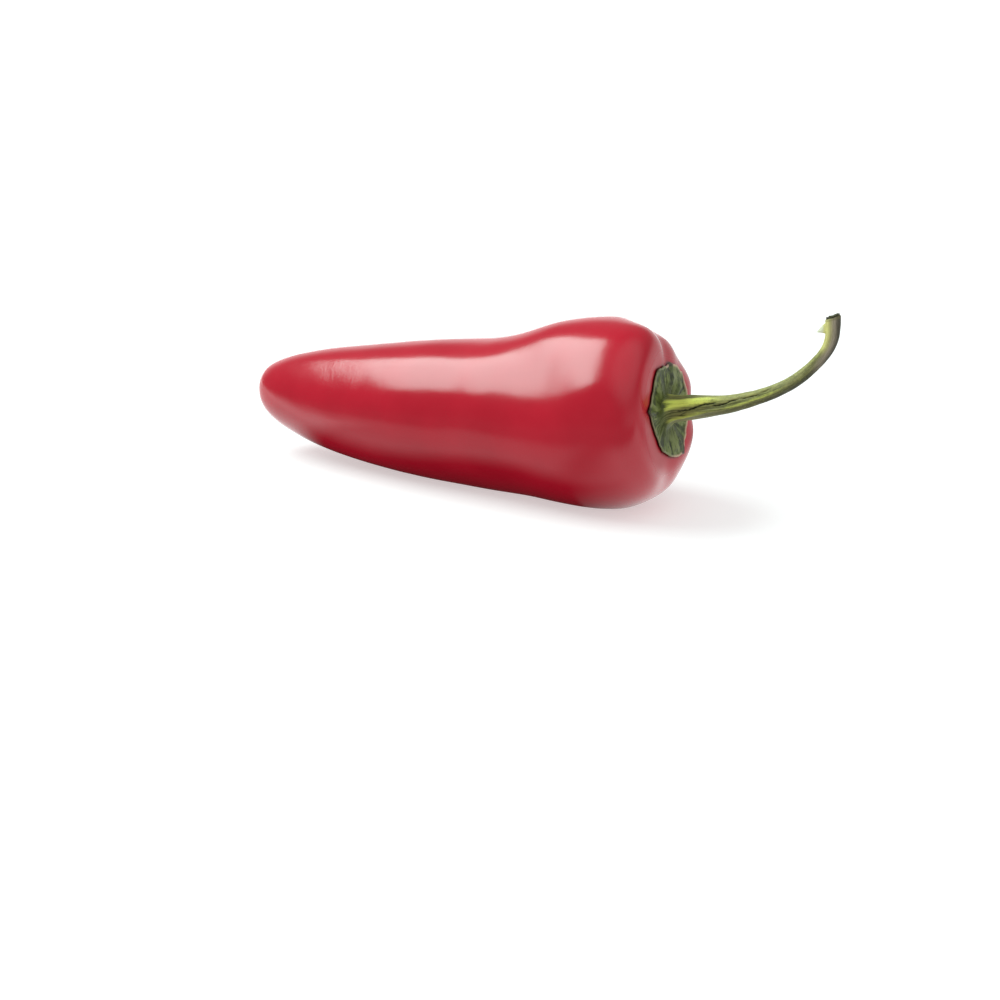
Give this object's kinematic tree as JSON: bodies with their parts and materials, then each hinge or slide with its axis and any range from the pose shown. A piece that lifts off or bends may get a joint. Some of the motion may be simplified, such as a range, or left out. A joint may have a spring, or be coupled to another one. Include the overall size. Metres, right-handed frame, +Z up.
{
  "type": "jalapeno pepper",
  "caption": "Ripe red jalapeno pepper lying on its side: a glossy tapered pod with a rounded, lobed shoulder, a green calyx and a ribbed, hooked stem.",
  "frame": {"origin": "centre of the bounding box's base, on the surface that the pepper lies on", "axes": "+X along the pepper from its tip to its stem, +Z up, -Y towards the side with the one wide lobe"},
  "size_m": [0.1098, 0.033, 0.0396],
  "materials": {
    "red_skin": "glossy, waxy ripe skin",
    "green_stem": "ribbed, slightly waxy green stem"
  },
  "bodies": {
    "root": {"pod": "red_skin", "stem_and_calyx": "green_stem"}
  },
  "joints": []
}
